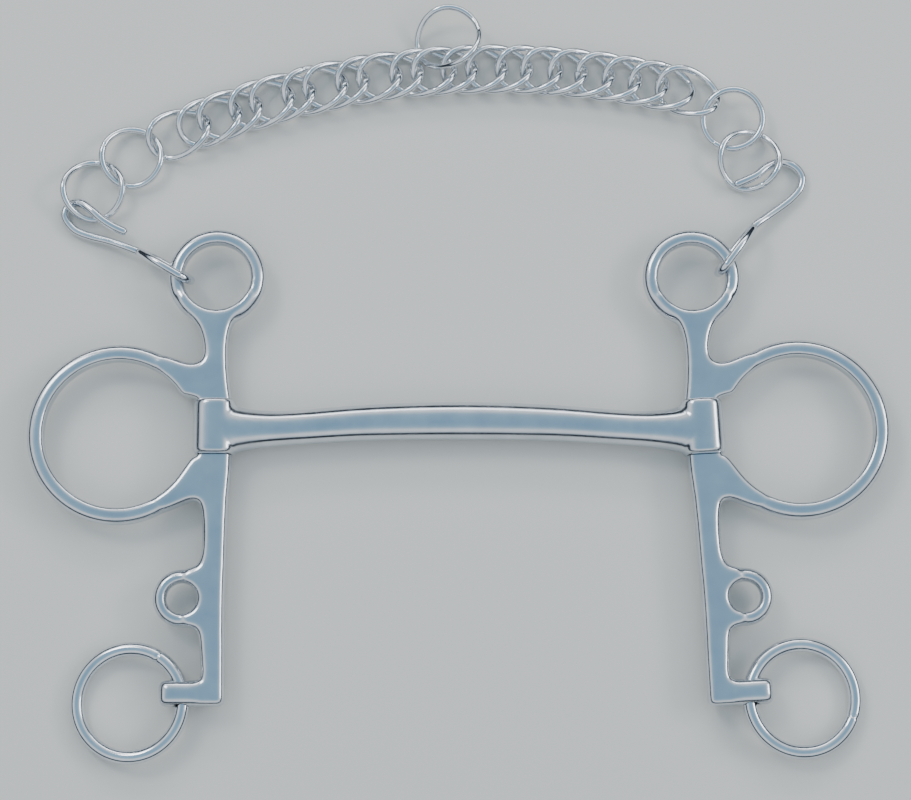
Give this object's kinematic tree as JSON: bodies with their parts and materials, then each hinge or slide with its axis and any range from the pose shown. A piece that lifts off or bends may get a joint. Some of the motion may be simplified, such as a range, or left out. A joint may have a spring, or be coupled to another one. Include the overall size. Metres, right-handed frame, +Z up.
{
  "type": "swivel cheek pelham curb bit",
  "caption": "Stainless steel curb bit with a solid curved mouthpiece, swivelling ring cheeks, shanks with loose rein rings, and a hooked-on double-link curb chain with a lip strap ring.",
  "frame": {"origin": "on the surface that the bit lies on, under the middle of its bounding box; the line joining the two cheek pins lies 17.2 mm behind it, at Y = -0.0172 m", "axes": "+X along the mouthpiece towards the right cheek, +Y from the shanks towards the eyes and the chain, +Z up out of the surface"},
  "size_m": [0.2656, 0.2392, 0.0131],
  "materials": {
    "satin_steel": "cast and buffed stainless steel, softly bright",
    "polished_steel": "drawn and polished stainless wire",
    "chain_steel": "bright stainless chain wire with fine handling marks"
  },
  "bodies": {
    "mouthpiece": {"mouthpiece": "satin_steel"},
    "cheek_left": {"cheek_left": "satin_steel", "cheek_pin_left": "satin_steel"},
    "cheek_right": {"cheek_right": "satin_steel", "cheek_pin_right": "satin_steel"},
    "curb_hook_left": {"curb_hook_left": "polished_steel"},
    "curb_hook_right": {"curb_hook_right": "polished_steel"},
    "rein_ring_left": {"rein_ring_left": "polished_steel"},
    "rein_ring_right": {"rein_ring_right": "polished_steel"},
    "lip_strap_ring": {"lip_strap_ring": "chain_steel"},
    "chain_ring_left_outer": {"chain_ring_left_outer": "chain_steel"},
    "chain_ring_left_inner": {"chain_ring_left_inner": "chain_steel"},
    "double_link_01": {"double_link_01": "chain_steel"},
    "double_link_02": {"double_link_02": "chain_steel"},
    "double_link_03": {"double_link_03": "chain_steel"},
    "double_link_04": {"double_link_04": "chain_steel"},
    "double_link_05": {"double_link_05": "chain_steel"},
    "double_link_06": {"double_link_06": "chain_steel"},
    "double_link_07": {"double_link_07": "chain_steel"},
    "double_link_08": {"double_link_08": "chain_steel"},
    "double_link_09": {"double_link_09": "chain_steel"},
    "double_link_10": {"double_link_10": "chain_steel"},
    "double_link_11": {"double_link_11": "chain_steel"},
    "double_link_12": {"double_link_12": "chain_steel"},
    "double_link_13": {"double_link_13": "chain_steel"},
    "double_link_14": {"double_link_14": "chain_steel"},
    "double_link_15": {"double_link_15": "chain_steel"},
    "double_link_16": {"double_link_16": "chain_steel"},
    "double_link_17": {"double_link_17": "chain_steel"},
    "double_link_18": {"double_link_18": "chain_steel"},
    "double_link_19": {"double_link_19": "chain_steel"},
    "double_link_20": {"double_link_20": "chain_steel"},
    "chain_ring_right_inner": {"chain_ring_right_inner": "chain_steel"},
    "chain_ring_right_outer": {"chain_ring_right_outer": "chain_steel"}
  },
  "joints": [
    {"name": "left_cheek_swivel", "type": "hinge", "parent": "mouthpiece", "child": "cheek_left", "pos_m": [-0.0752, -0.0172, 0.0065], "axis": [0, 1, 0], "range_deg": [-12, 18]},
    {"name": "right_cheek_swivel", "type": "hinge", "parent": "mouthpiece", "child": "cheek_right", "pos_m": [0.0752, -0.0172, 0.0065], "axis": [-0.0541, 0.9985, 0], "range_deg": [-20.7, 13.8]},
    {"name": "left_hook_hinge", "type": "hinge", "parent": "cheek_left", "child": "curb_hook_left", "pos_m": [-0.08807, 0.03221, 0.0065], "axis": [0, 1, 0], "range_deg": [-18, 12]},
    {"name": "right_hook_hinge", "type": "hinge", "parent": "cheek_right", "child": "curb_hook_right", "pos_m": [0.08421, 0.03623, 0.0065], "axis": [-0.0541, 0.9985, 0], "range_deg": [-13.8, 20.7]},
    {"name": "left_rein_ring_hinge", "type": "hinge", "parent": "cheek_left", "child": "rein_ring_left", "pos_m": [-0.084, -0.0991, 0.0065], "axis": [0, 1, 0], "range_deg": [-125, 125]},
    {"name": "right_rein_ring_hinge", "type": "hinge", "parent": "cheek_right", "child": "rein_ring_right", "pos_m": [0.08842, -0.0985, 0.0065], "axis": [-0.0541, 0.9985, 0], "range_deg": [-125, 125]},
    {"name": "chain_sway", "type": "hinge", "parent": "curb_hook_left", "child": "chain_ring_left_outer", "pos_m": [-0.1195, 0.0548, 0.0035], "axis": [0, 0, 1], "range_deg": [-8, 8]},
    {"name": "chain_ring_left_inner_hinge", "type": "hinge", "parent": "chain_ring_left_outer", "child": "chain_ring_left_inner", "pos_m": [-0.10884, 0.06492, 0.0035], "axis": [0, 0, 1], "range_deg": [-3.84, 3.84]},
    {"name": "double_link_01_hinge", "type": "hinge", "parent": "chain_ring_left_inner", "child": "double_link_01", "pos_m": [-0.09561, 0.07415, 0.0035], "axis": [0, 0, 1], "range_deg": [-2.92, 2.92]},
    {"name": "double_link_02_hinge", "type": "hinge", "parent": "double_link_01", "child": "double_link_02", "pos_m": [-0.08345, 0.08005, 0.0035], "axis": [0, 0, 1], "range_deg": [-2.27, 2.27]},
    {"name": "double_link_03_hinge", "type": "hinge", "parent": "double_link_02", "child": "double_link_03", "pos_m": [-0.07539, 0.08328, 0.0035], "axis": [0, 0, 1], "range_deg": [-1.89, 1.89]},
    {"name": "double_link_04_hinge", "type": "hinge", "parent": "double_link_03", "child": "double_link_04", "pos_m": [-0.06721, 0.08617, 0.0035], "axis": [0, 0, 1], "range_deg": [-1.54, 1.54]},
    {"name": "double_link_05_hinge", "type": "hinge", "parent": "double_link_04", "child": "double_link_05", "pos_m": [-0.05894, 0.08883, 0.0035], "axis": [0, 0, 1], "range_deg": [-1.2, 1.2]},
    {"name": "double_link_06_hinge", "type": "hinge", "parent": "double_link_05", "child": "double_link_06", "pos_m": [-0.05057, 0.09113, 0.0035], "axis": [0, 0, 1], "range_deg": [-0.88, 0.88]},
    {"name": "double_link_07_hinge", "type": "hinge", "parent": "double_link_06", "child": "double_link_07", "pos_m": [-0.04214, 0.0932, 0.0035], "axis": [0, 0, 1], "range_deg": [-0.58, 0.58]},
    {"name": "double_link_08_hinge", "type": "hinge", "parent": "double_link_07", "child": "double_link_08", "pos_m": [-0.03363, 0.0949, 0.0035], "axis": [0, 0, 1], "range_deg": [-0.31, 0.31]},
    {"name": "double_link_09_hinge", "type": "hinge", "parent": "double_link_08", "child": "double_link_09", "pos_m": [-0.02507, 0.09637, 0.0035], "axis": [0, 0, 1], "range_deg": [-0.201, 0.201]},
    {"name": "double_link_10_hinge", "type": "hinge", "parent": "double_link_09", "child": "double_link_10", "pos_m": [-0.01646, 0.09747, 0.0035], "axis": [0, 0, 1], "range_deg": [-0.201, 0.201]},
    {"name": "double_link_11_hinge", "type": "hinge", "parent": "double_link_10", "child": "double_link_11", "pos_m": [-0.00782, 0.09833, 0.0035], "axis": [0, 0, 1], "range_deg": [-0.387, 0.387]},
    {"name": "double_link_12_hinge", "type": "hinge", "parent": "double_link_11", "child": "double_link_12", "pos_m": [0.0003, 0.09881, 0.0035], "axis": [0, 0, 1], "range_deg": [-0.56, 0.56]},
    {"name": "double_link_13_hinge", "type": "hinge", "parent": "double_link_12", "child": "double_link_13", "pos_m": [0.00897, 0.09906, 0.0035], "axis": [0, 0, 1], "range_deg": [-0.73, 0.73]},
    {"name": "double_link_14_hinge", "type": "hinge", "parent": "double_link_13", "child": "double_link_14", "pos_m": [0.01765, 0.09897, 0.0035], "axis": [0, 0, 1], "range_deg": [-0.87, 0.87]},
    {"name": "double_link_15_hinge", "type": "hinge", "parent": "double_link_14", "child": "double_link_15", "pos_m": [0.02633, 0.09861, 0.0035], "axis": [0, 0, 1], "range_deg": [-0.99, 0.99]},
    {"name": "double_link_16_hinge", "type": "hinge", "parent": "double_link_15", "child": "double_link_16", "pos_m": [0.03463, 0.09795, 0.0035], "axis": [0, 0, 1], "range_deg": [-1.08, 1.08]},
    {"name": "double_link_17_hinge", "type": "hinge", "parent": "double_link_16", "child": "double_link_17", "pos_m": [0.04326, 0.09698, 0.0035], "axis": [0, 0, 1], "range_deg": [-1.15, 1.15]},
    {"name": "double_link_18_hinge", "type": "hinge", "parent": "double_link_17", "child": "double_link_18", "pos_m": [0.05185, 0.0957, 0.0035], "axis": [0, 0, 1], "range_deg": [-1.2, 1.2]},
    {"name": "double_link_19_hinge", "type": "hinge", "parent": "double_link_18", "child": "double_link_19", "pos_m": [0.06023, 0.09415, 0.0035], "axis": [0, 0, 1], "range_deg": [-1.23, 1.23]},
    {"name": "double_link_20_hinge", "type": "hinge", "parent": "double_link_19", "child": "double_link_20", "pos_m": [0.06856, 0.0923, 0.0035], "axis": [0, 0, 1], "range_deg": [-1.23, 1.23]},
    {"name": "chain_ring_right_inner_hinge", "type": "hinge", "parent": "double_link_20", "child": "chain_ring_right_inner", "pos_m": [0.0797, 0.08682, 0.0035], "axis": [0, 0, 1], "range_deg": [-1, 1]},
    {"name": "chain_ring_right_outer_hinge", "type": "hinge", "parent": "chain_ring_right_inner", "child": "chain_ring_right_outer", "pos_m": [0.08911, 0.07585, 0.0035], "axis": [0, 0, 1], "range_deg": [-0.338, 0.338]},
    {"name": "lip_strap_ring_swing", "type": "hinge", "parent": "double_link_10", "child": "lip_strap_ring", "pos_m": [-0.012, 0.0998, 0.006], "axis": [0, 0, 1], "range_deg": [-10, 10]}
  ],
  "couplings": [
    {"joint": "right_cheek_swivel", "follows": "left_cheek_swivel", "ratio": -1.15},
    {"joint": "left_hook_hinge", "follows": "left_cheek_swivel", "ratio": -1},
    {"joint": "right_hook_hinge", "follows": "left_cheek_swivel", "ratio": 1.15},
    {"joint": "chain_ring_left_inner_hinge", "follows": "chain_sway", "ratio": -0.3843},
    {"joint": "double_link_01_hinge", "follows": "chain_sway", "ratio": -0.2923},
    {"joint": "double_link_02_hinge", "follows": "chain_sway", "ratio": -0.2272},
    {"joint": "double_link_03_hinge", "follows": "chain_sway", "ratio": -0.1892},
    {"joint": "double_link_04_hinge", "follows": "chain_sway", "ratio": -0.1536},
    {"joint": "double_link_05_hinge", "follows": "chain_sway", "ratio": -0.1196},
    {"joint": "double_link_06_hinge", "follows": "chain_sway", "ratio": -0.0881},
    {"joint": "double_link_07_hinge", "follows": "chain_sway", "ratio": -0.0582},
    {"joint": "double_link_08_hinge", "follows": "chain_sway", "ratio": -0.0309},
    {"joint": "double_link_09_hinge", "follows": "chain_sway", "ratio": -0.02},
    {"joint": "double_link_10_hinge", "follows": "chain_sway", "ratio": 0.02},
    {"joint": "double_link_11_hinge", "follows": "chain_sway", "ratio": 0.0386},
    {"joint": "double_link_12_hinge", "follows": "chain_sway", "ratio": 0.056},
    {"joint": "double_link_13_hinge", "follows": "chain_sway", "ratio": 0.0726},
    {"joint": "double_link_14_hinge", "follows": "chain_sway", "ratio": 0.0867},
    {"joint": "double_link_15_hinge", "follows": "chain_sway", "ratio": 0.0986},
    {"joint": "double_link_16_hinge", "follows": "chain_sway", "ratio": 0.1078},
    {"joint": "double_link_17_hinge", "follows": "chain_sway", "ratio": 0.115},
    {"joint": "double_link_18_hinge", "follows": "chain_sway", "ratio": 0.1199},
    {"joint": "double_link_19_hinge", "follows": "chain_sway", "ratio": 0.1225},
    {"joint": "double_link_20_hinge", "follows": "chain_sway", "ratio": 0.1227},
    {"joint": "chain_ring_right_inner_hinge", "follows": "chain_sway", "ratio": 0.1004},
    {"joint": "chain_ring_right_outer_hinge", "follows": "chain_sway", "ratio": 0.0337}
  ]
}
